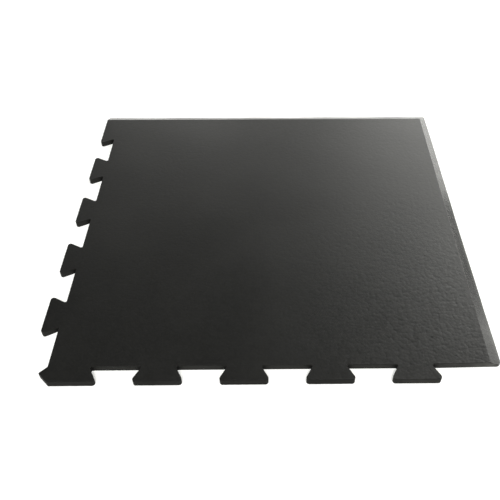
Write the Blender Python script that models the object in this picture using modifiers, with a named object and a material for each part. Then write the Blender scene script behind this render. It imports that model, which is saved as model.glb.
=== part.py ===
"""Interlocking corner mat of solid moulded rubber, modelled in metres with +Z up.

The mat is one moulded slab. Dovetail tabs stand out along its front (-Y) and its left (-X) side, and the
sockets between them take a neighbouring mat's tabs. The right and the back side are straight and slope
down to a thin toe, so that nobody trips on them. The origin is under the middle of the mat.
"""

import math

import bmesh
import bpy
from mathutils import Vector

# Driving dimensions
BODY_SIDE = 0.962
THICKNESS = 0.016
TAB_COUNT = 5
TAB_PITCH = 0.180
TAB_DEPTH = 0.038
TAB_HEAD = 0.1105
TAB_PLAY = 0.0005
HEAD_ROUND = 0.0065
ROOT_ROUND = 0.0035
FIRST_FRONT_TAB = 0.0525
CORNER_REACH = 0.0158
CORNER_ROUND = 0.002
OUTER_CORNER_ROUND = 0.005

# Ramps along the right and the back side
RAMP_WIDTH = 0.027
RAMP_TOE = 0.0035

# Four of these mats, each turned a quarter against the next, join into one square: a tab's neck leaves a
# socket as wide as a head, and the left side's tabs stand half a pitch further along than the front's.
TAB_NECK = TAB_PITCH - TAB_HEAD - TAB_PLAY
FIRST_LEFT_TAB = FIRST_FRONT_TAB + TAB_PITCH / 2

# Small rounding of the rims, the size of the steps on a round stretch, and the cutters' margin
RIM_ROUND = 0.0012
RIM_SEGMENTS = 2
RIM_ANGLE = math.radians(40)
ARC_STEP = math.radians(20)
CUTTER_MARGIN = 0.02
WELD_DISTANCE = 0.00001
FLAT_ANGLE = math.radians(0.2)

RUBBER_COLOUR = (0.022, 0.022, 0.021, 1.0)
RUBBER_ROUGHNESS = 0.62


def clear_scene():
    """Remove every object that the file opened with."""
    for old in list(bpy.data.objects):
        bpy.data.objects.remove(old, do_unlink=True)


def new_collection(name):
    """Make a collection and link it to the scene."""
    collection = bpy.data.collections.new(name)
    bpy.context.scene.collection.children.link(collection)
    return collection


def rubber_material():
    """Black vulcanised rubber."""
    material = bpy.data.materials.new("black_rubber")
    material.use_nodes = True
    shader = material.node_tree.nodes["Principled BSDF"]
    shader.inputs["Base Color"].default_value = RUBBER_COLOUR
    shader.inputs["Roughness"].default_value = RUBBER_ROUGHNESS
    shader.inputs["Metallic"].default_value = 0.0
    material.diffuse_color = RUBBER_COLOUR
    return material


def tab_corners(centre, cut_at=None):
    """Corners of one tab as (along, out, radius), in rising order along its side.

    along runs beside the root line and out is how far the corner stands out of it. A tab that is cut off
    ends in a square corner at cut_at, which is the mat's own straight side.
    """
    corners = [
        (centre - TAB_NECK / 2, 0.0, ROOT_ROUND),
        (centre - TAB_HEAD / 2, TAB_DEPTH, HEAD_ROUND),
    ]
    if cut_at is None:
        corners.append((centre + TAB_HEAD / 2, TAB_DEPTH, HEAD_ROUND))
        corners.append((centre + TAB_NECK / 2, 0.0, ROOT_ROUND))
    else:
        corners.append((cut_at, TAB_DEPTH, ROOT_ROUND))
    return corners


def mat_corners():
    """Corners of the whole outline as (x, y, radius), anticlockwise from the front left.

    x = 0 is the left root line and y = 0 the front one. The tab at the corner has a square tip, turned
    45 degrees, that points at the spot where four mats meet.
    """
    corners = [
        (0.0, 0.0, ROOT_ROUND),
        (-CORNER_REACH, -CORNER_REACH, CORNER_ROUND),
        (TAB_DEPTH - 2 * CORNER_REACH, -TAB_DEPTH, CORNER_ROUND),
        (FIRST_FRONT_TAB + TAB_HEAD / 2, -TAB_DEPTH, HEAD_ROUND),
        (FIRST_FRONT_TAB + TAB_NECK / 2, 0.0, ROOT_ROUND),
    ]
    for number in range(1, TAB_COUNT):
        for along, out, radius in tab_corners(FIRST_FRONT_TAB + number * TAB_PITCH):
            corners.append((along, -out, radius))
    corners.append((BODY_SIDE, 0.0, OUTER_CORNER_ROUND))
    corners.append((BODY_SIDE, BODY_SIDE, OUTER_CORNER_ROUND))
    last = TAB_COUNT - 1
    for number in range(last, -1, -1):
        cut_at = BODY_SIDE if number == last else None
        for along, out, radius in reversed(tab_corners(FIRST_LEFT_TAB + number * TAB_PITCH, cut_at)):
            corners.append((-out, along, radius))
    return corners


def rounded(corners):
    """Replace each corner of a closed outline by an arc of its radius."""
    points = []
    for index, (x, y, radius) in enumerate(corners):
        corner = Vector((x, y))
        before = Vector(corners[index - 1][:2]) - corner
        after = Vector(corners[(index + 1) % len(corners)][:2]) - corner
        before.normalize()
        after.normalize()
        half_angle = before.angle(after) / 2
        centre = corner + (before + after).normalized() * radius / math.sin(half_angle)
        start = corner + before * radius / math.tan(half_angle) - centre
        end = corner + after * radius / math.tan(half_angle) - centre
        turn = math.atan2(start.x * end.y - start.y * end.x, start.dot(end))
        steps = max(2, math.ceil(abs(turn) / ARC_STEP))
        for step in range(steps + 1):
            angle = math.atan2(start.y, start.x) + turn * step / steps
            points.append(centre + radius * Vector((math.cos(angle), math.sin(angle))))
    return points


def extruded_outline(name, points, thickness, collection):
    """A slab with a flat outline, half its thickness below and above its origin, as a welded mesh."""
    curve = bpy.data.curves.new(name + "_outline", "CURVE")
    curve.dimensions = "2D"
    curve.fill_mode = "BOTH"
    curve.extrude = thickness / 2
    spline = curve.splines.new("POLY")
    spline.points.add(len(points) - 1)
    for target, point in zip(spline.points, points):
        target.co = (point.x, point.y, 0.0, 1.0)
    spline.use_cyclic_u = True
    outline = bpy.data.objects.new(name + "_outline", curve)
    collection.objects.link(outline)
    bpy.context.view_layer.update()

    evaluated = outline.evaluated_get(bpy.context.evaluated_depsgraph_get())
    mesh = bpy.data.meshes.new_from_object(evaluated)
    mesh.name = name
    slab = bmesh.new()
    slab.from_mesh(mesh)
    bmesh.ops.remove_doubles(slab, verts=slab.verts, dist=WELD_DISTANCE)
    bmesh.ops.dissolve_limit(slab, angle_limit=FLAT_ANGLE, verts=slab.verts, edges=slab.edges)
    bmesh.ops.recalc_face_normals(slab, faces=slab.faces)
    slab.to_mesh(mesh)
    slab.free()

    solid = bpy.data.objects.new(name, mesh)
    solid.matrix_world = outline.matrix_world
    collection.objects.link(solid)
    bpy.data.objects.remove(outline, do_unlink=True)
    return solid


def ramp_cutter(name, length, collection):
    """A wedge that lies over one straight side and leaves the ramp under it.

    It is drawn as the ramp's section in its own XY plane, with the toe's edge at x = 0 and the slab's
    underside at y = 0, and runs along its own Z, half its length to each side.
    """
    slope = (THICKNESS - RAMP_TOE) / RAMP_WIDTH
    section = [
        Vector((CUTTER_MARGIN, RAMP_TOE - slope * CUTTER_MARGIN)),
        Vector((CUTTER_MARGIN, THICKNESS + CUTTER_MARGIN)),
        Vector((-RAMP_WIDTH - CUTTER_MARGIN / slope, THICKNESS + CUTTER_MARGIN)),
    ]
    wedge = extruded_outline(name, section, length, collection)
    wedge.hide_render = True
    wedge.display_type = "WIRE"
    return wedge


def cut(solid, cutter):
    """Take the cutter's shape out of the solid."""
    modifier = solid.modifiers.new("cut_" + cutter.name, "BOOLEAN")
    modifier.operation = "DIFFERENCE"
    modifier.solver = "EXACT"
    modifier.object = cutter


def round_rims(solid):
    """Round the upper and the lower rim, and leave the ramps' shallow creases as they are."""
    bevel = solid.modifiers.new("rims", "BEVEL")
    bevel.width = RIM_ROUND
    bevel.segments = RIM_SEGMENTS
    bevel.limit_method = "ANGLE"
    bevel.angle_limit = RIM_ANGLE
    bevel.use_clamp_overlap = True


def build():
    """Build the mat and centre it on the origin."""
    clear_scene()
    parts = new_collection("rubber_mat_parts")
    cutters = new_collection("cutters")

    outer_edge = (BODY_SIDE + TAB_DEPTH) / 2
    mat = extruded_outline("rubber_mat", rounded(mat_corners()), THICKNESS, parts)
    mat.location = (outer_edge - BODY_SIDE, outer_edge - BODY_SIDE, THICKNESS / 2)
    mat.data.materials.append(rubber_material())

    # The wedges' sections stand upright: their own Y points up, and their own X points out of the mat.
    run = 2 * (outer_edge + CUTTER_MARGIN)
    right_ramp = ramp_cutter("right_ramp_cutter", run, cutters)
    right_ramp.rotation_euler = (math.pi / 2, 0.0, 0.0)
    right_ramp.location = (outer_edge, 0.0, 0.0)
    back_ramp = ramp_cutter("back_ramp_cutter", run, cutters)
    back_ramp.rotation_euler = (math.pi / 2, 0.0, math.pi / 2)
    back_ramp.location = (0.0, outer_edge, 0.0)
    for wedge in (right_ramp, back_ramp):
        cut(mat, wedge)
    round_rims(mat)


build()
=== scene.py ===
"""Looks of the interlocking rubber mat: one moulded slab with a pebbled top, tabs, ramps and rounded rims.

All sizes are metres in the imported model's frame: +X towards the ramped right side, +Y towards the ramped
back side, +Z up, and the origin under the middle of the mat.
"""

import logging
import math
from dataclasses import dataclass, field
from enum import Enum
from typing import NamedTuple

import bmesh
import bpy
import numpy as np
from mathutils import Matrix, Vector
from mathutils.geometry import delaunay_2d_cdt


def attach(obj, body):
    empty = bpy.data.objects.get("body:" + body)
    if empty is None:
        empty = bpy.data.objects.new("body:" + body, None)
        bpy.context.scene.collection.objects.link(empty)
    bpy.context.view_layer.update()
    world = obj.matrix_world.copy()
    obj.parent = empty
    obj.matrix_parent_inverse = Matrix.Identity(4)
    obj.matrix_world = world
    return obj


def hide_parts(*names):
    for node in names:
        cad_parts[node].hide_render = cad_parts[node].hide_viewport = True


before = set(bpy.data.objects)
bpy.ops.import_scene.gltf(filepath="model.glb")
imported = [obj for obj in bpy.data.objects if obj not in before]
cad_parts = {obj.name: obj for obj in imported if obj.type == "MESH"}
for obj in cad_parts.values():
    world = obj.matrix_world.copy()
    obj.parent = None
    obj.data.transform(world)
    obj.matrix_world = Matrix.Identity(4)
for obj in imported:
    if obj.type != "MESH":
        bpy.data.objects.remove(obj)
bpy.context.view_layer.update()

LOG = logging.getLogger("rubber_mat")
IMAGE_SIDE = 500
SENSOR_WIDTH = 36.0


class Layer(Enum):
    """Float layers that the mat's mesh carries for its finish."""

    BELOW_TOP = "below_top"
    RAMP = "ramp"
    # Nearness to a socket's inner corner, where the colour carries painted shade.
    NOOK = "nook"


class Cap(Enum):
    """The two large faces of the mat, by the spacing of the points inside them."""

    TOP = 0.007
    UNDERSIDE = 0.045


class Span(NamedTuple):
    """A stretch of values over which a curve rises from 0 to 1."""

    low: float
    high: float


def smooth_step(low: float, high: float, values: np.ndarray) -> np.ndarray:
    """An S curve from 0 at low to 1 at high.

    Args:
        low: the value where the curve leaves 0.
        high: the value where it reaches 1.
        values: where to read the curve.

    Returns:
        3 u squared minus 2 u cubed, where u is the clamped share of the way from low to high.
    """
    share = np.clip((values - low) / (high - low), 0.0, 1.0)
    return share * share * (3.0 - 2.0 * share)


def soft_minimum(first: np.ndarray, second: np.ndarray, blend: float) -> np.ndarray:
    """The smaller of two heights, with their crossing rounded off.

    Args:
        first: one surface's heights.
        second: the other's.
        blend: how far apart the two heights are where the rounding starts.

    Returns:
        The minimum, less a quarter of blend times the square of how far the rounding has gone.
    """
    overlap = np.clip(1.0 - np.abs(first - second) / blend, 0.0, 1.0)
    return np.minimum(first, second) - overlap * overlap * blend / 4.0


@dataclass(frozen=True)
class Wave:
    """A slow wave over the mat, by its height, its turn per metre along X and Y, and where it starts."""

    height: float
    across: float
    along: float
    start: float

    def at(self, x: np.ndarray, y: np.ndarray) -> np.ndarray:
        """The height times the sine of the wave's turn at each place."""
        return self.height * np.sin(self.across * x + self.along * y + self.start)


@dataclass(frozen=True)
class MatSizes:
    """Real sizes of the mat. Those from the rims' rounding on are finer than the solid has them."""

    body_side: float = 0.962
    thickness: float = 0.016
    tab_count: int = 5
    tab_pitch: float = 0.180
    tab_depth: float = 0.038
    tab_head: float = 0.1105
    tab_neck: float = 0.069
    head_round: float = 0.0065
    root_round: float = 0.0035
    first_front_tab: float = 0.0525
    corner_reach: float = 0.0158
    corner_round: float = 0.002
    outer_corner_round: float = 0.005
    ramp_width: float = 0.027
    ramp_toe: float = 0.0035
    rim_round: float = 0.0007
    foot_round: float = 0.0005
    front_corner_round: float = 0.014
    corner_rise: float = 0.002
    crease_shift: float = 0.0018
    crease_lean: float = 0.0089
    front_trim: float = 0.0022
    front_trim_fades: Span = Span(-0.1, 0.4)
    back_ramp_extra: float = 0.0025

    @property
    def outer_edge(self) -> float:
        """Distance from the origin to the straight sides, and to the tabs' ends on the other sides."""
        return (self.body_side + self.tab_depth) / 2.0

    @property
    def root_line(self) -> float:
        """Where the tabs leave the body, on the front and on the left side."""
        return self.outer_edge - self.body_side

    @property
    def back_crease(self) -> float:
        """Where the back ramp starts."""
        return self.outer_edge - self.ramp_width - self.back_ramp_extra

    def right_edge(self, y: np.ndarray) -> np.ndarray:
        """Where the right side ends. Towards the front its toe is trimmed a little further in."""
        return self.outer_edge - self.front_trim * (1.0 - smooth_step(*self.front_trim_fades, y))

    def right_crease(self, y: np.ndarray) -> np.ndarray:
        """Where the right ramp starts. Its crease leans outwards in a straight line towards the back."""
        return self.outer_edge - self.ramp_width + self.crease_shift + self.crease_lean * y


@dataclass
class Outline:
    """The closed line round the mat, anticlockwise, with arcs at its corners."""

    sizes: MatSizes
    arc_points: int = 10
    step: float = 0.0028
    trim_reach: float = 0.02
    rise_across: Span = Span(0.34, 0.50)
    rise_along: Span = Span(-0.45, -0.40)
    trim_wander: float = 0.0004
    wander_reach: Span = Span(-0.006, -0.002)
    wander_waves: tuple[tuple[Wave, Wave], ...] = (
        (Wave(0.3, 0.0, 41.0, 1.3), Wave(0.2, 0.0, 97.0, 0.0)),
        (Wave(0.3, 41.0, 0.0, 1.3), Wave(0.2, 97.0, 0.0, 1.0)),
    )

    def corners(self) -> np.ndarray:
        """Corners of the outline before they are rounded.

        Returns:
            Rows of x, y and radius, in order round the mat.
        """
        s = self.sizes
        head, neck, last = s.tab_head / 2.0, s.tab_neck / 2.0, s.tab_count - 1
        rows = [
            (0.0, 0.0, s.root_round),
            (-s.corner_reach, -s.corner_reach, s.corner_round),
            (s.tab_depth - 2.0 * s.corner_reach, -s.tab_depth, s.corner_round),
        ]
        for number in range(s.tab_count):
            centre = s.first_front_tab + number * s.tab_pitch
            if number > 0:
                rows.append((centre - neck, 0.0, s.root_round))
                rows.append((centre - head, -s.tab_depth, s.head_round))
            rows.append((centre + head, -s.tab_depth, s.head_round))
            rows.append((centre + neck, 0.0, s.root_round))
        rows.append((s.body_side, 0.0, s.front_corner_round))
        rows.append((s.body_side, s.body_side, s.outer_corner_round))
        rows.append((-s.tab_depth, s.body_side, s.corner_round))
        for number in range(last, -1, -1):
            centre = s.first_front_tab + (number + 0.5) * s.tab_pitch
            if number < last:
                rows.append((0.0, centre + neck, s.root_round))
                rows.append((-s.tab_depth, centre + head, s.head_round))
            rows.append((-s.tab_depth, centre - head, s.head_round))
            rows.append((0.0, centre - neck, s.root_round))
        table = np.array(rows)
        table[:, :2] += s.root_line
        return table

    def root_corners(self) -> np.ndarray:
        """The sockets' inner corners, where the tabs' necks leave the body."""
        table = self.corners()
        return table[table[:, 2] == self.sizes.root_round, :2]

    def arcs(self) -> np.ndarray:
        """Every corner as an arc that touches both of its sides.

        The arc's centre lies on the corner's bisector, radius over the sine of half the corner's angle away,
        and its points turn evenly from one touching point to the other.

        Returns:
            The arcs' points, one after the other.
        """
        table = self.corners()
        corner, radius = table[:, :2], table[:, 2:]
        before = np.roll(corner, 1, axis=0) - corner
        after = np.roll(corner, -1, axis=0) - corner
        before /= np.linalg.norm(before, axis=1, keepdims=True)
        after /= np.linalg.norm(after, axis=1, keepdims=True)
        half = np.arccos(np.clip((before * after).sum(axis=1), -1.0, 1.0))[:, None] / 2.0
        bisector = before + after
        bisector /= np.linalg.norm(bisector, axis=1, keepdims=True)
        centre = corner + bisector * radius / np.sin(half)
        start = corner + before * radius / np.tan(half) - centre
        end = corner + after * radius / np.tan(half) - centre
        turn = np.arctan2(start[:, 0] * end[:, 1] - start[:, 1] * end[:, 0], (start * end).sum(axis=1))
        share = np.linspace(0.0, 1.0, self.arc_points)
        angle = np.arctan2(start[:, 1], start[:, 0])[:, None] + turn[:, None] * share
        round_part = np.stack([np.cos(angle), np.sin(angle)], axis=2) * radius[:, None, :]
        return (centre[:, None, :] + round_part).reshape(-1, 2)

    def points(self) -> np.ndarray:
        """The outline with its straight stretches divided into short steps.

        Each step's point lies an even share of the way from one corner point to the next. The right side
        is then trimmed in towards the front, the front side lies a little further back at the right, and the
        two ramped sides wander inwards by a fraction of a millimetre, where they were trimmed by hand.

        Returns:
            The points as rows of x and y.
        """
        line = self.arcs()
        following = np.roll(line, -1, axis=0)
        length = np.linalg.norm(following - line, axis=1)
        pieces = np.maximum(1, np.ceil(length / self.step)).astype(int)
        owner = np.repeat(np.arange(len(line)), pieces)
        first = np.repeat(np.cumsum(pieces) - pieces, pieces)
        share = ((np.arange(len(owner)) - first) / pieces[owner])[:, None]
        points = line[owner] * (1.0 - share) + following[owner] * share
        edge = self.sizes.outer_edge
        near_right = smooth_step(edge - self.trim_reach, edge, points[:, 0])
        points[:, 0] -= (edge - self.sizes.right_edge(points[:, 1])) * near_right
        near_front = 1.0 - smooth_step(*self.rise_along, points[:, 1])
        points[:, 1] += self.sizes.corner_rise * smooth_step(*self.rise_across, points[:, 0]) * near_front
        for axis, (long_wave, short_wave) in enumerate(self.wander_waves):
            x, y = points.T
            waves = 0.5 + long_wave.at(x, y) + short_wave.at(x, y)
            low, high = self.wander_reach
            at_edge = smooth_step(edge + low, edge + high, points[:, axis])
            points[:, axis] -= self.trim_wander * waves * at_edge
        return points

    @staticmethod
    def outward(points: np.ndarray) -> np.ndarray:
        """Directions that move a closed line outwards by one unit everywhere.

        Args:
            points: the closed line, anticlockwise.

        Returns:
            At each point the mean of its two sides' normals, lengthened so that both sides move by one.
        """
        along = np.roll(points, -1, axis=0) - points
        normal = np.stack([along[:, 1], -along[:, 0]], axis=1)
        normal /= np.linalg.norm(normal, axis=1, keepdims=True)
        mean = normal + np.roll(normal, 1, axis=0)
        return 2.0 * mean / (mean * mean).sum(axis=1, keepdims=True)


@dataclass
class TopSurface:
    """Heights of the mat's upper side, ramps included."""

    sizes: MatSizes
    hip_blend: float = 0.08
    toe_wander: float = 0.0008
    toe_wave: Wave = Wave(0.5, 29.0, 23.0, 0.6)
    unevenness: float = 0.0003
    waves: tuple[Wave, ...] = (
        Wave(0.15, 17.0, 9.0, 0.4),
        Wave(0.14, -11.0, 21.0, 2.0),
        Wave(0.11, 31.0, -14.0, 4.1),
        Wave(0.10, 8.0, 37.0, 5.2),
    )

    def ramp_share(self, x: np.ndarray, y: np.ndarray) -> np.ndarray:
        """How far down a ramp each place is.

        Args:
            x: places across the mat.
            y: places along the mat.

        Returns:
            0 on the flat top and 1 at the toe, in a straight line between; where the two ramps meet, the
            larger share counts, with their crossing rounded off.
        """
        s = self.sizes
        crease = s.right_crease(y)
        right = (x - crease) / (s.right_edge(y) - crease)
        back = (y - s.back_crease) / (s.outer_edge - s.back_crease)
        return np.clip(-soft_minimum(-right, -back, self.hip_blend), 0.0, 1.0)

    def height(self, x: np.ndarray, y: np.ndarray) -> np.ndarray:
        """Height of the upper side.

        It is the flat top, less the sum of a few slow waves. On the ramps it falls in a straight line to
        the toe, which wanders a little.

        Args:
            x: places across the mat.
            y: places along the mat.

        Returns:
            The heights, never above the mat's thickness.
        """
        flat = self.sizes.thickness - self.unevenness * (0.5 + sum(wave.at(x, y) for wave in self.waves))
        toe = self.sizes.ramp_toe - self.toe_wander * (0.5 + self.toe_wave.at(x, y))
        share = self.ramp_share(x, y)
        return flat * (1.0 - share) + toe * share


@dataclass
class MatMesh:
    """The mat's mesh: a section carried round the outline, closed by a top and an underside."""

    sizes: MatSizes
    outline: Outline
    surface: TopSurface
    rim_steps: int = 6
    wall_steps: int = 4
    guard: float = 0.0004
    cap_margin: float = 0.0022
    weld: float = 1e-6
    cap_precision: float = 1e-9
    point_batches: int = 24
    side_depth: float = 0.00002
    nook_reach: float = 0.020
    ramp_lines: int = 3
    crease_tent: float = 3.0
    lines_at_crease: tuple[float, ...] = (-0.004, -0.0015, -0.0004, 0.0, 0.0004, 0.0015, 0.004)

    def section(self) -> tuple[np.ndarray, np.ndarray, np.ndarray]:
        """The wall's section from the underside up to the top.

        It has a small round foot, an upright wall, a quarter circle for the rim, and a last line on the top.
        On a round part the inset is the radius less the radius times a cosine, and the rise is the same with
        a sine.

        Returns:
            Each line's inset, its share of the wall's height, and what is added to that height.
        """
        s = self.sizes
        turn = np.linspace(0.0, math.pi / 2.0, self.rim_steps)
        foot_inset = s.foot_round * (1.0 - np.sin(turn[::2]))
        foot_rise = s.foot_round * (1.0 - np.cos(turn[::2]))
        wall_share = np.linspace(0.0, 1.0, self.wall_steps)
        rim_inset = s.rim_round * (1.0 - np.cos(turn))
        rim_drop = -s.rim_round * (1.0 - np.sin(turn))
        last_inset = [s.rim_round + self.guard]
        inset = np.concatenate([foot_inset, np.zeros(self.wall_steps), rim_inset, last_inset])
        share = np.concatenate([np.zeros(len(foot_inset)), wall_share, np.ones(self.rim_steps + 1)])
        extra = np.concatenate([
            foot_rise,
            s.foot_round + self.guard - wall_share * (s.foot_round + s.rim_round + 2.0 * self.guard),
            rim_drop,
            [0.0],
        ])
        return inset, share, extra

    def wall(self) -> np.ndarray:
        """The section carried round the outline.

        Each point is the outline's, moved inwards by the section's inset, and as high as the section's share
        of the top's height there plus what is added to it.

        Returns:
            Points as an array of lines by places by x, y and z.
        """
        points = self.outline.points()
        outward = self.outline.outward(points)
        inset, share, extra = self.section()
        plan = points[None, :, :] - inset[:, None, None] * outward[None, :, :]
        top = self.surface.height(plan[..., 0], plan[..., 1])
        rise = share[:, None] * top + extra[:, None]
        return np.concatenate([plan, rise[..., None]], axis=2)

    def grid_lines(self, spacing: float, crease: float) -> np.ndarray:
        """Grid lines for a cap: evenly spaced, and close together along a ramp's crease.

        Args:
            spacing: the distance between the even lines.
            crease: where the ramp starts.

        Returns:
            The lines' places, from the tabs' ends to the toe.
        """
        edge = self.sizes.outer_edge
        even = np.arange(-edge, crease - spacing, spacing)
        ramp = np.linspace(crease + spacing, edge, self.ramp_lines + 1)[:-1]
        return np.concatenate([even, crease + np.array(self.lines_at_crease), ramp])

    def along_crease(self, grid: np.ndarray) -> np.ndarray:
        """Move grid points sideways so that the lines at the right crease follow its lean.

        Args:
            grid: rows of x and y.

        Returns:
            The points, moved by the crease's own shift times a tent that is 1 at the crease, 0 at the
            outer edge and 0 again a few ramp widths inside.
        """
        s = self.sizes
        straight = s.outer_edge - s.ramp_width
        away = grid[:, 0] - straight
        inner = 1.0 + away / (self.crease_tent * s.ramp_width)
        tent = np.where(away > 0.0, 1.0 - away / s.ramp_width, inner)
        moved = grid.copy()
        moved[:, 0] += (s.right_crease(grid[:, 1]) - straight) * np.clip(tent, 0.0, 1.0)
        return moved

    def inside(self, points: np.ndarray, border: np.ndarray) -> np.ndarray:
        """Which points lie inside a closed line and clear of it.

        A point is inside where a ray along X crosses the line an odd number of times.

        Args:
            points: rows of x and y.
            border: the closed line.

        Returns:
            True for each point that is kept.
        """
        kept = np.zeros(len(points), bool)
        ahead = np.roll(border, -1, axis=0)
        rise = np.where(ahead[:, 1] == border[:, 1], 1.0, ahead[:, 1] - border[:, 1])
        for part in np.array_split(np.arange(len(points)), self.point_batches):
            x, y = points[part, 0:1], points[part, 1:2]
            spans = (border[:, 1] > y) != (ahead[:, 1] > y)
            reach = border[:, 0] + (y - border[:, 1]) * (ahead[:, 0] - border[:, 0]) / rise
            odd = (spans & (x < reach)).sum(axis=1) % 2 == 1
            away = ((border[:, 0] - x) ** 2 + (border[:, 1] - y) ** 2).min(axis=1)
            kept[part] = odd & (away > self.cap_margin * self.cap_margin)
        return kept

    def cap(self, border: np.ndarray, kind: Cap) -> tuple[np.ndarray, list[list[int]]]:
        """Triangles that fill a closed line, with grid points inside it.

        Args:
            border: the closed line, anticlockwise.
            kind: which face it is, which gives the grid's spacing.

        Returns:
            The points as rows of x and y, and the triangles, anticlockwise.
        """
        across = self.grid_lines(kind.value, self.sizes.outer_edge - self.sizes.ramp_width)
        along = self.grid_lines(kind.value, self.sizes.back_crease)
        grid = self.along_crease(np.stack(np.meshgrid(across, along), axis=2).reshape(-1, 2))
        grid = grid[self.inside(grid, border)]
        points = np.vstack([border, grid])
        ring = list(range(len(border)))
        made = delaunay_2d_cdt([Vector(point) for point in points], [], [ring], 1, self.cap_precision)
        return np.array([tuple(point) for point in made[0]]), made[2]

    def build(self, name: str) -> bpy.types.Object:
        """Make the closed mesh and its finish layers.

        Args:
            name: the object's name.

        Returns:
            The object, linked to the scene, with its place in its mesh.
        """
        wall = self.wall()
        lines, places = wall.shape[:2]
        index = np.arange(lines * places).reshape(lines, places)
        ahead = np.roll(index, -1, axis=1)
        quads = np.stack([index[:-1], ahead[:-1], ahead[1:], index[1:]], axis=2).reshape(-1, 4)

        top_plan, top_faces = self.cap(wall[-1, :, :2], Cap.TOP)
        top = np.column_stack([top_plan, self.surface.height(top_plan[:, 0], top_plan[:, 1])])
        low_plan, low_faces = self.cap(wall[0, :, :2], Cap.UNDERSIDE)
        low = np.column_stack([low_plan, np.zeros(len(low_plan))])

        points = np.vstack([wall.reshape(-1, 3), top, low])
        top_start = lines * places
        low_start = top_start + len(top)
        faces = quads.tolist()
        faces += (np.array(top_faces) + top_start).tolist()
        faces += (np.array(low_faces)[:, ::-1] + low_start).tolist()

        mesh = bpy.data.meshes.new(name)
        mesh.from_pydata(points, [], faces)
        welded = bmesh.new()
        welded.from_mesh(mesh)
        bmesh.ops.remove_doubles(welded, verts=welded.verts, dist=self.weld)
        welded.to_mesh(mesh)
        welded.free()
        mesh.shade_smooth()
        self.add_layers(mesh)
        mat = bpy.data.objects.new(name, mesh)
        bpy.context.collection.objects.link(mat)
        return mat

    def add_layers(self, mesh: bpy.types.Mesh) -> None:
        """Give the points their layers, and each face its finish.

        The layers are the depth below the top, the share of the way down a ramp, and how near a socket's
        inner corner is, from 0 at the reach to 1 in the corner; that last one places painted shade.

        Args:
            mesh: the welded mesh.
        """
        place = np.empty(len(mesh.vertices) * 3)
        mesh.vertices.foreach_get("co", place)
        x, y, z = place.reshape(-1, 3).T
        corners = self.outline.root_corners()
        away = np.hypot(x[:, None] - corners[:, 0], y[:, None] - corners[:, 1]).min(axis=1)
        values = {
            Layer.BELOW_TOP: np.maximum(self.surface.height(x, y) - z, 0.0),
            Layer.RAMP: self.surface.ramp_share(x, y),
            Layer.NOOK: 1.0 - smooth_step(0.0, self.nook_reach, away),
        }
        for layer, numbers in values.items():
            made = mesh.attributes.new(layer.value, "FLOAT", "POINT")
            made.data.foreach_set("value", numbers)

        corner = np.empty(len(mesh.loops), np.int32)
        mesh.loops.foreach_get("vertex_index", corner)
        first = np.empty(len(mesh.polygons), np.int32)
        mesh.polygons.foreach_get("loop_start", first)
        beyond = values[Layer.BELOW_TOP] - self.sizes.rim_round * values[Layer.RAMP]
        deepest = np.maximum.reduceat(beyond[corner], first)
        mesh.polygons.foreach_set("material_index", (deepest > self.side_depth).astype(np.int32))


@dataclass(frozen=True)
class Cloud:
    """A cloudy noise: its blotches' size in metres, its finer layers, their strength, and its own weight."""

    size: float
    detail: float = 2.0
    rough: float = 0.5
    weight: float = 1.0


class Wire:
    """A number in a material, as a socket or a constant, with Python's arithmetic."""

    def __init__(self, sheet: "Sheet", source: bpy.types.NodeSocket | float) -> None:
        """Keep the material's sheet and the number's source."""
        self.sheet = sheet
        self.source = source

    def _math(self, operation: str, *others: "Wire | float") -> "Wire":
        """Add a Math node.

        Args:
            operation: the node's operation.
            others: its inputs.

        Returns:
            The node's result.
        """
        values = {number: other for number, other in enumerate(others)}
        made = self.sheet.node("ShaderNodeMath", {"operation": operation}, values)
        return Wire(self.sheet, made.outputs[0])

    def __add__(self, other: "Wire | float") -> "Wire":
        """This plus other."""
        return self._math("ADD", self, other)

    def __sub__(self, other: "Wire | float") -> "Wire":
        """This minus other."""
        return self._math("SUBTRACT", self, other)

    def __rsub__(self, other: float) -> "Wire":
        """A number minus this."""
        return self._math("SUBTRACT", other, self)

    def __mul__(self, other: "Wire | float") -> "Wire":
        """This times other."""
        return self._math("MULTIPLY", self, other)

    __radd__ = __add__
    __rmul__ = __mul__

    def eased(self, low: float, high: float) -> "Wire":
        """An S curve from 0 at low to 1 at high.

        Args:
            low: the value where the curve leaves 0.
            high: the value where it reaches 1.

        Returns:
            The curve's value.
        """
        settings = {"interpolation_type": "SMOOTHSTEP"}
        values = {"Value": self, "From Min": low, "From Max": high}
        return Wire(self.sheet, self.sheet.node("ShaderNodeMapRange", settings, values).outputs[0])


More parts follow.
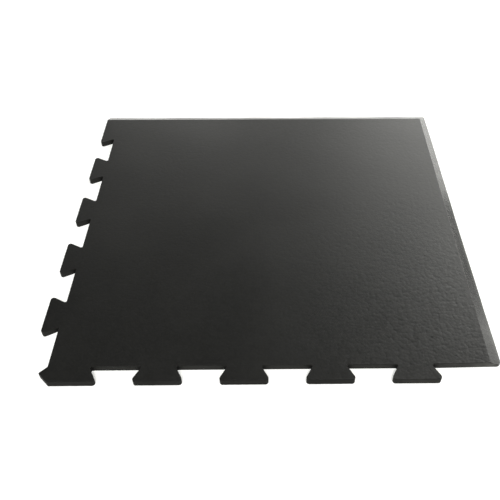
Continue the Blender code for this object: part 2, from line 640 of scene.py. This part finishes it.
class Sheet:
    """One material's node tree, with short ways to add to it."""

    def __init__(self, name: str) -> None:
        """Make the material, with an empty tree but for its shader and its output."""
        self.material = bpy.data.materials.new(name)
        self.material.use_nodes = True
        self.tree = self.material.node_tree
        self.shader = self.tree.nodes["Principled BSDF"]

    def node(self, kind: str, settings: dict, inputs: dict) -> bpy.types.Node:
        """Add a node.

        Args:
            kind: the node's type.
            settings: its properties, set first.
            inputs: its sockets' values or links, by name or number.

        Returns:
            The node.
        """
        made = self.tree.nodes.new(kind)
        for key, value in settings.items():
            setattr(made, key, value)
        for key, value in inputs.items():
            self.feed(made.inputs[key], value)
        return made

    def feed(self, socket: bpy.types.NodeSocket, value: object) -> None:
        """Link a socket to a Wire or another socket, or set its constant.

        Args:
            socket: the input.
            value: what it takes.
        """
        source = value.source if isinstance(value, Wire) else value
        if isinstance(source, bpy.types.NodeSocket):
            self.tree.links.new(source, socket)
        else:
            socket.default_value = source

    def places(self) -> bpy.types.NodeSocket:
        """Places on the object, in metres."""
        return self.node("ShaderNodeTexCoord", {}, {}).outputs["Object"]

    def axis(self, where: bpy.types.NodeSocket, letter: str) -> Wire:
        """One coordinate of a place."""
        return Wire(self, self.node("ShaderNodeSeparateXYZ", {}, {0: where}).outputs[letter])

    def layer(self, layer: Layer) -> Wire:
        """One of the mesh's own float layers."""
        made = self.node("ShaderNodeAttribute", {"attribute_name": layer.value}, {})
        return Wire(self, made.outputs["Fac"])

    def cloud_node(self, where: bpy.types.NodeSocket, cloud: Cloud) -> bpy.types.Node:
        """The node of a cloudy noise, read at some places."""
        values = {"Vector": where, "Scale": 1.0 / cloud.size}
        layers = {"Detail": cloud.detail, "Roughness": cloud.rough}
        return self.node("ShaderNodeTexNoise", {}, {**values, **layers})

    def noise(self, where: bpy.types.NodeSocket, cloud: Cloud) -> Wire:
        """A cloud's plain values, around 0.5."""
        return Wire(self, self.cloud_node(where, cloud).outputs[0])

    def swing(self, where: bpy.types.NodeSocket, cloud: Cloud) -> Wire:
        """A cloud's values around 0, times its weight."""
        return (self.noise(where, cloud) - 0.5) * cloud.weight

    def spots(self, where: bpy.types.NodeSocket, cloud: Cloud, tones: Span) -> Wire:
        """A cloud's values as spots that rise from 0 to its weight over the tones given."""
        return self.noise(where, cloud).eased(*tones) * cloud.weight

    def shifted(self, where: bpy.types.NodeSocket, cloud: Cloud) -> bpy.types.NodeSocket:
        """Places pushed about by noise, so that a pattern read there isn't regular.

        Args:
            where: the places.
            cloud: the noise, whose weight is how far a place may move, in metres.

        Returns:
            The moved places.
        """
        push = self.cloud_node(where, cloud).outputs["Color"]
        values = {0: push, 1: (2.0 * cloud.weight,) * 3, 2: where}
        return self.node("ShaderNodeVectorMath", {"operation": "MULTIPLY_ADD"}, values).outputs[0]

    def cells(self, where: bpy.types.NodeSocket, size: float, smoothness: float) -> Wire:
        """Cell pattern with soft valleys.

        Args:
            where: places to read it at.
            size: a cell's width, in metres.
            smoothness: how softly neighbouring cells run together.

        Returns:
            Distances from the nearest cell's middle, in cell widths.
        """
        settings = {"feature": "SMOOTH_F1", "voronoi_dimensions": "2D"}
        values = {"Vector": where, "Scale": 1.0 / size, "Smoothness": smoothness}
        return Wire(self, self.node("ShaderNodeTexVoronoi", settings, values).outputs["Distance"])

    def blend(self, share: Wire, first: object, second: object) -> bpy.types.NodeSocket:
        """Mix two colours.

        Args:
            share: how much of the second one shows.
            first: the colour at 0.
            second: the colour at 1.

        Returns:
            The mixed colour.
        """
        made = self.node("ShaderNodeMix", {"data_type": "RGBA"}, {0: share, 6: first, 7: second})
        return made.outputs[2]


@dataclass(frozen=True)
class Patch:
    """A stretch along one of the mat's sides, given by its middle and its reach."""

    middle: float
    reach: float

    def share(self, along: Wire) -> Wire:
        """1 in the middle of the stretch, and 0 from its ends on."""
        rising = along.eased(self.middle - self.reach, self.middle)
        return rising * (1.0 - along.eased(self.middle, self.middle + self.reach))


@dataclass
class Zones:
    """Masks of a material: how much of each kind of surface, scuffing, painted sheen and painted shade there
    is at a place.
    """

    on_top: Wire
    on_ramp: Wire
    toe: Wire
    scuff_and_sheen_mask: Wire
    mottled: Wire
    crisp: Wire
    sheen_behind_tabs: Wire
    painted_nook_shade: Wire
    at_back: Wire


@dataclass(frozen=True)
class Marks:
    """Where each kind of surface, scuffing, painted sheen and painted shade lies.

    Spans across and along are places on the mat, and those down are metres below the top. Spans of a ramp
    are shares of the way down it.
    """

    side_down: Span = Span(0.0001, 0.0006)
    ramp_start: Span = Span(0.0, 0.03)
    ramp_toe: Span = Span(0.55, 0.95)
    scuffs_and_sheen: tuple[Patch, ...] = (Patch(-0.378, 0.055), Patch(-0.14, 0.16), Patch(0.10, 0.15))
    scuff_and_sheen_weight: float = 0.35
    streak: Patch = Patch(-0.15, 0.15)
    streak_start: Span = Span(0.15, 0.40)
    streak_end: Span = Span(0.55, 0.80)
    corner_across: Span = Span(0.37, 0.49)
    corner_along: Span = Span(-0.4585, -0.4565)
    corner_on_top: float = 0.35
    sides_across: Span = Span(0.10, 0.42)
    side_sheen_weight: float = 0.25
    tab_ends_along: Span = Span(-0.495, -0.475)
    nook_down: Span = Span(0.001, 0.004)
    back_along: Span = Span(0.466, 0.476)
    back_across: Span = Span(0.458, 0.474)
    mottle: Cloud = Cloud(0.030)
    mottle_tones: Span = Span(0.35, 0.65)
    crispness: float = 0.5
    soft_across: Span = Span(-0.30, 0.0)
    soft_along: Span = Span(0.10, 0.40)
    soft_weight: float = 0.14
    crisp_across: Span = Span(0.0, 0.42)
    crisp_along: Span = Span(-0.35, 0.25)
    crisp_weight: float = 0.80

    def zones(self, sheet: Sheet, where: bpy.types.NodeSocket) -> Zones:
        """Work out the masks, as products of S curves across, along and down the mat and down its ramps.

        Args:
            sheet: the material's sheet.
            where: places on the mat.

        Returns:
            The masks.
        """
        across, along = sheet.axis(where, "X"), sheet.axis(where, "Y")
        down, ramp = sheet.layer(Layer.BELOW_TOP), sheet.layer(Layer.RAMP)
        on_side = down.eased(*self.side_down)
        on_ramp = ramp.eased(*self.ramp_start)
        # The streak keeps the middle of the right ramp's slope dark; around it lie pale patches along that
        # ramp, partly scuffing and partly painted sheen where the ramp catches light.
        streak = self.streak.share(along) * ramp.eased(*self.streak_start)
        streak = streak * (1.0 - ramp.eased(*self.streak_end))
        scuffs_and_sheen = sum(patch.share(along) for patch in self.scuffs_and_sheen) * on_ramp * (1.0 - streak)
        # Painted highlight: the front right corner, mostly its wall, is paler.
        corner = across.eased(*self.corner_across) * (1.0 - along.eased(*self.corner_along))
        corner = corner * (on_side * (1.0 - self.corner_on_top) + self.corner_on_top)
        # Painted sheen: the walls grow paler towards the right, where more light falls on them.
        lightened = across.eased(*self.sides_across) * on_side
        return Zones(
            on_top=1.0 - on_side,
            on_ramp=on_ramp,
            toe=ramp.eased(*self.ramp_toe),
            scuff_and_sheen_mask=scuffs_and_sheen * self.scuff_and_sheen_weight + corner + lightened * self.side_sheen_weight,
            mottled=sheet.spots(where, self.mottle, self.mottle_tones),
            crisp=self.crisp(across, along),
            # Painted sheen: the walls behind the tabs' front ends, the sockets' walls among them, take the
            # paler grey, standing in for floor light they reflect.
            sheen_behind_tabs=along.eased(*self.tab_ends_along) * on_side,
            # Painted shade: the sockets' inner corners darken below the rim.
            painted_nook_shade=sheet.layer(Layer.NOOK) * down.eased(*self.nook_down),
            at_back=along.eased(*self.back_along) * (1.0 - across.eased(*self.back_across)),
        )

    def crisp(self, across: Wire, along: Wire) -> Wire:
        """How crisp the grain is: softest in the middle of the mat, and crispest at the front right.

        Args:
            across: places along X.
            along: places along Y.

        Returns:
            The grain's strength, around the plain crispness.
        """
        softer = across.eased(*self.soft_across) * (1.0 - along.eased(*self.soft_along))
        crisper = across.eased(*self.crisp_across) * (1.0 - along.eased(*self.crisp_along))
        return self.crispness - softer * self.soft_weight + crisper * self.crisp_weight


@dataclass(frozen=True)
class Rubber:
    """Black vulcanised rubber. The top has a pebble grain moulded into it, and the sides are matt."""

    name: str
    roughness: float
    specular: float
    # Colours: the body; a faint grey that also paints sheen on the walls; a pale tone for scuffing and
    # painted sheen; and painted shade for the sockets' inner corners.
    body: tuple[float, float, float, float] = (0.0040, 0.0040, 0.0037, 1.0)
    bloom_and_sheen: tuple[float, float, float, float] = (0.0095, 0.0095, 0.0088, 1.0)
    wear_and_sheen_tone: tuple[float, float, float, float] = (0.080, 0.080, 0.076, 1.0)
    painted_shade: tuple[float, float, float, float] = (0.0012, 0.0012, 0.0011, 1.0)
    marks: Marks = Marks()
    blotches: Cloud = Cloud(0.16, 3.0, 0.55, 0.35)
    blotch_tones: Span = Span(0.38, 0.68)
    specks: Cloud = Cloud(0.0055, weight=0.4)
    speck_tones: Span = Span(0.40, 0.70)
    toe_wear: float = 0.45
    even_share: float = 0.4
    wide_gloss: Cloud = Cloud(0.22, 3.0, weight=0.10)
    close_gloss: Cloud = Cloud(0.012, 2.0, 0.6, 0.27)
    fine_gloss: Cloud = Cloud(0.0045, 1.0, weight=0.22)
    ramp_calm: float = 0.45
    ramp_gloss: float = 0.12
    mottled_gloss: float = 0.04
    back_gloss: float = 0.04
    pebble_shift: Cloud = Cloud(0.008, 1.0, weight=0.0018)
    pebble_size: float = 0.0070
    pebble_smoothness: float = 0.45
    pebble_height: float = 0.22
    swell: Cloud = Cloud(0.013, 2.0, 0.45, 0.34)
    ramp_flat: float = 0.5
    fine_grain: Cloud = Cloud(0.0013, weight=0.008)
    millimetre: float = 0.001

    def make(self) -> bpy.types.Material:
        """Build the material.

        Returns:
            The material.
        """
        sheet = Sheet(self.name)
        where = sheet.places()
        zones = self.marks.zones(sheet, where)
        self.colour(sheet, where, zones)
        self.gloss(sheet, where, zones)
        self.relief(sheet, where, zones)
        return sheet.material

    def colour(self, sheet: Sheet, where: bpy.types.NodeSocket, zones: Zones) -> None:
        """Black with faint grey blotches and specks, and paler at the ramps' toes. Paler still in patches
        along the right ramp, partly from scuffing and partly as painted sheen; as painted sheen on the
        walls, most towards the right and behind the tabs' front ends; and as a painted highlight at the
        front right corner. Darker as painted shade in the sockets' inner corners.

        Args:
            sheet: the material's sheet.
            where: places on the mat.
            zones: the masks.
        """
        blotches = sheet.spots(where, self.blotches, self.blotch_tones)
        specks = sheet.spots(where, self.specks, self.speck_tones) * zones.on_top * (1.0 - zones.on_ramp)
        # The faint grey also paints sheen on the walls behind the tabs' front ends.
        base = sheet.blend(blotches + specks + zones.sheen_behind_tabs, self.body, self.bloom_and_sheen)
        # Pale marks: ramp patches of scuffing and painted sheen, the corner's painted highlight, and the
        # walls' painted sheen, partly mottled.
        scuffs_and_sheen = zones.scuff_and_sheen_mask * (zones.mottled * (1.0 - self.even_share) + self.even_share)
        lightened = sheet.blend(zones.toe * self.toe_wear + scuffs_and_sheen, base, self.wear_and_sheen_tone)
        # Painted shade darkens the sockets' inner corners.
        sheet.feed(sheet.shader.inputs["Base Color"], sheet.blend(zones.painted_nook_shade, lightened, self.painted_shade))

    def gloss(self, sheet: Sheet, where: bpy.types.NodeSocket, zones: Zones) -> None:
        """A satin gloss, mottled over the mat and smoother on the ramps.

        Args:
            sheet: the material's sheet.
            where: places on the mat.
            zones: the masks.
        """
        grain = sheet.swing(where, self.close_gloss) + sheet.swing(where, self.fine_gloss)
        grain = grain * (1.0 - zones.on_ramp * self.ramp_calm) * zones.crisp
        smooth = zones.mottled * self.mottled_gloss + zones.at_back * self.back_gloss + self.ramp_gloss
        rough = self.roughness + sheet.swing(where, self.wide_gloss) + grain
        rough = rough - zones.on_ramp * zones.on_top * smooth
        sheet.feed(sheet.shader.inputs["Roughness"], rough)
        sheet.feed(sheet.shader.inputs["Specular IOR Level"], self.specular)

    def relief(self, sheet: Sheet, where: bpy.types.NodeSocket, zones: Zones) -> None:
        """Low, irregular pebbles with soft valleys on the top, and a fine grain everywhere.

        Args:
            sheet: the material's sheet.
            where: places on the mat.
            zones: the masks.
        """
        pushed = sheet.shifted(where, self.pebble_shift)
        hollow = sheet.cells(pushed, self.pebble_size, self.pebble_smoothness)
        grain = sheet.noise(where, self.swell) * self.swell.weight - hollow * hollow * self.pebble_height
        grain = grain * zones.crisp * zones.on_top * (1.0 - zones.on_ramp * self.ramp_flat)
        height = grain + sheet.noise(where, self.fine_grain) * self.fine_grain.weight
        values = {"Strength": 1.0, "Distance": self.millimetre, "Height": height}
        bump = sheet.node("ShaderNodeBump", {}, values)
        sheet.feed(sheet.shader.inputs["Normal"], bump.outputs["Normal"])


@dataclass
class RubberMat:
    """The mat itself: its mesh and its finish."""

    sizes: MatSizes = field(default_factory=MatSizes)
    top_finish: Rubber = Rubber("pebbled_top", 0.40, 0.5)
    # The sides' base colours are two to three times the top's and their specular is low: the paler colour is
    # painted reflection of the bright floor.
    side_finish: Rubber = Rubber(
        "matt_side", 0.6, 0.06, body=(0.0115, 0.0115, 0.0107, 1.0), bloom_and_sheen=(0.0200, 0.0200, 0.0187, 1.0)
    )
    node: str = "rubber_mat"

    def build(self) -> bpy.types.Object:
        """Make the dressed mat in place of its plain solid.

        Returns:
            The mat's object.
        """
        shape = MatMesh(self.sizes, Outline(self.sizes), TopSurface(self.sizes))
        mat = shape.build("mat")
        mat.data.materials.append(self.top_finish.make())
        mat.data.materials.append(self.side_finish.make())
        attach(mat, "root")
        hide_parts(self.node)
        return mat


@dataclass(frozen=True)
class SoftBox:
    """A square soft light that points at the mat."""

    name: str
    azimuth: float
    elevation: float
    distance: float
    side: float
    power: float

    def build(self, tint: tuple[float, float, float]) -> bpy.types.Object:
        """Make the light. Its azimuth is 0 behind the mat and grows towards the right.

        Args:
            tint: the light's colour.

        Returns:
            The light's object.
        """
        lamp = bpy.data.lights.new(self.name, "AREA")
        lamp.color = tint
        lamp.shape = "SQUARE"
        lamp.size = self.side
        lamp.energy = self.power
        light = bpy.data.objects.new(self.name, lamp)
        turn, rise = math.radians(self.azimuth), math.radians(self.elevation)
        towards = Vector((
            math.sin(turn) * math.cos(rise),
            math.cos(turn) * math.cos(rise),
            math.sin(rise),
        ))
        light.location = towards * self.distance
        light.rotation_mode = "QUATERNION"
        light.rotation_quaternion = towards.to_track_quat("Z", "Y")
        bpy.context.collection.objects.link(light)
        return light


@dataclass(frozen=True)
class Studio:
    """A plain white floor under soft lights and a pale sky."""

    floor_side: float = 12.0
    floor_colour: tuple[float, float, float, float] = (0.92, 0.92, 0.92, 1.0)
    floor_roughness: float = 0.9
    floor_glow: float = 0.25
    sky_strength: float = 0.12
    tint: tuple[float, float, float] = (1.0, 1.0, 0.96)
    backdrop_reach: float = 8.5
    backdrop_rings: int = 24
    backdrop_colour: tuple[float, float, float, float] = (0.95, 0.95, 0.95, 1.0)
    black: tuple[float, float, float, float] = (0.0, 0.0, 0.0, 1.0)
    lights: tuple[SoftBox, ...] = (
        SoftBox("key_box", 180.0, 60.0, 7.0, 4.0, 460.0),
        SoftBox("front_box", 180.0, 35.0, 7.0, 4.0, 50.0),
        SoftBox("far_left_box", -36.0, 32.0, 1.7, 0.6, 0.5),
        SoftBox("left_box", -18.0, 6.0, 1.7, 0.6, 3.0),
        SoftBox("back_box", 0.0, 22.0, 3.2, 1.2, 6.5),
        SoftBox("window_side_box", 24.0, 14.0, 3.2, 1.2, 19.0),
        SoftBox("window_top_box", 24.0, 32.0, 3.2, 1.2, 6.5),
        SoftBox("window_low_box", 36.0, 6.0, 3.2, 1.2, 16.0),
        SoftBox("window_box", 48.0, 32.0, 3.2, 1.2, 31.0),
        SoftBox("low_right_box", 60.0, 6.0, 3.2, 1.2, 3.0),
        SoftBox("right_box", 80.0, 14.0, 1.7, 0.6, 2.0),
    )

    def build(self) -> None:
        """Make the backdrop, the floor, the sky and the lights."""
        self.backdrop()
        self.floor()
        self.sky()
        for light in self.lights:
            light.build(self.tint)

    def floor(self) -> bpy.types.Object:
        """Make the floor, which glows a little so that it stays white.

        Returns:
            The floor's object.
        """
        half = self.floor_side / 2.0
        corners = [(-half, -half, 0.0), (half, -half, 0.0), (half, half, 0.0), (-half, half, 0.0)]
        mesh = bpy.data.meshes.new("floor")
        mesh.from_pydata(corners, [], [(0, 1, 2, 3)])
        sheet = Sheet("white_floor")
        sheet.feed(sheet.shader.inputs["Base Color"], self.floor_colour)
        sheet.feed(sheet.shader.inputs["Emission Color"], self.floor_colour)
        sheet.feed(sheet.shader.inputs["Emission Strength"], self.floor_glow)
        sheet.feed(sheet.shader.inputs["Roughness"], self.floor_roughness)
        sheet.feed(sheet.shader.inputs["Specular IOR Level"], 0.0)
        mesh.materials.append(sheet.material)
        floor = bpy.data.objects.new("floor", mesh)
        bpy.context.scene.collection.objects.link(floor)
        return floor

    def sky(self) -> None:
        """Make the even, pale sky, and show the picture's tones as they are."""
        world = bpy.data.worlds.new("pale_sky")
        world.use_nodes = True
        background = world.node_tree.nodes["Background"]
        background.inputs["Color"].default_value = (*self.tint, 1.0)
        background.inputs["Strength"].default_value = self.sky_strength
        bpy.context.scene.world = world
        bpy.context.scene.view_settings.view_transform = "Standard"

    def backdrop(self) -> bpy.types.Object:
        """Make a plain pale dome round the set, which only the camera sees.

        Returns:
            The dome's object.
        """
        rings, reach = self.backdrop_rings, self.backdrop_reach
        dome = bmesh.new()
        bmesh.ops.create_uvsphere(dome, u_segments=2 * rings, v_segments=rings, radius=reach)
        mesh = bpy.data.meshes.new("backdrop")
        dome.to_mesh(mesh)
        dome.free()
        sheet = Sheet("pale_backdrop")
        sheet.feed(sheet.shader.inputs["Base Color"], self.black)
        sheet.feed(sheet.shader.inputs["Specular IOR Level"], 0.0)
        sheet.feed(sheet.shader.inputs["Emission Color"], self.backdrop_colour)
        sheet.feed(sheet.shader.inputs["Emission Strength"], 1.0)
        mesh.materials.append(sheet.material)
        backdrop = bpy.data.objects.new("backdrop", mesh)
        bpy.context.scene.collection.objects.link(backdrop)
        backdrop.visible_diffuse = False
        backdrop.visible_glossy = False
        backdrop.visible_transmission = False
        backdrop.visible_shadow = False
        return backdrop


@dataclass(frozen=True)
class PhotoCamera:
    """The camera that took the photograph, as fitted to the mat's outline."""

    place: tuple[float, float, float] = (0.006, -1.2508, 1.127)
    yaw: float = 0.814
    pitch: float = 44.815
    roll: float = -0.234
    focal_pixels: float = 638.4
    shift_pixels: tuple[float, float] = (-26.5, 4.6)

    def build(self) -> bpy.types.Object:
        """Make the camera and set it as the scene's.

        Returns:
            The camera's object.
        """
        yaw, pitch, roll = (math.radians(angle) for angle in (self.yaw, self.pitch, self.roll))
        ahead = Vector((
            math.sin(yaw) * math.cos(pitch),
            math.cos(yaw) * math.cos(pitch),
            -math.sin(pitch),
        ))
        level = Vector((math.cos(yaw), -math.sin(yaw), 0.0))
        down = ahead.cross(level)
        right = level * math.cos(roll) + down * math.sin(roll)
        up = level * math.sin(roll) - down * math.cos(roll)
        data = bpy.data.cameras.new("photo_camera")
        data.sensor_width = SENSOR_WIDTH
        data.lens = SENSOR_WIDTH * self.focal_pixels / IMAGE_SIDE
        data.shift_x, data.shift_y = (pixels / IMAGE_SIDE for pixels in self.shift_pixels)
        camera = bpy.data.objects.new("photo_camera", data)
        turn = Matrix((right, up, -ahead)).transposed().to_4x4()
        camera.matrix_world = Matrix.Translation(self.place) @ turn
        bpy.context.scene.collection.objects.link(camera)
        bpy.context.scene.camera = camera
        return camera


def main() -> None:
    """Build the camera, the studio and the mat, and log the mat's points and faces."""
    logging.basicConfig(level=logging.INFO, format="%(name)s: %(message)s")
    PhotoCamera().build()
    Studio().build()
    mat = RubberMat().build()
    LOG.info("%s: %d points, %d faces", mat.name, len(mat.data.vertices), len(mat.data.polygons))


if __name__ == "__main__":
    main()
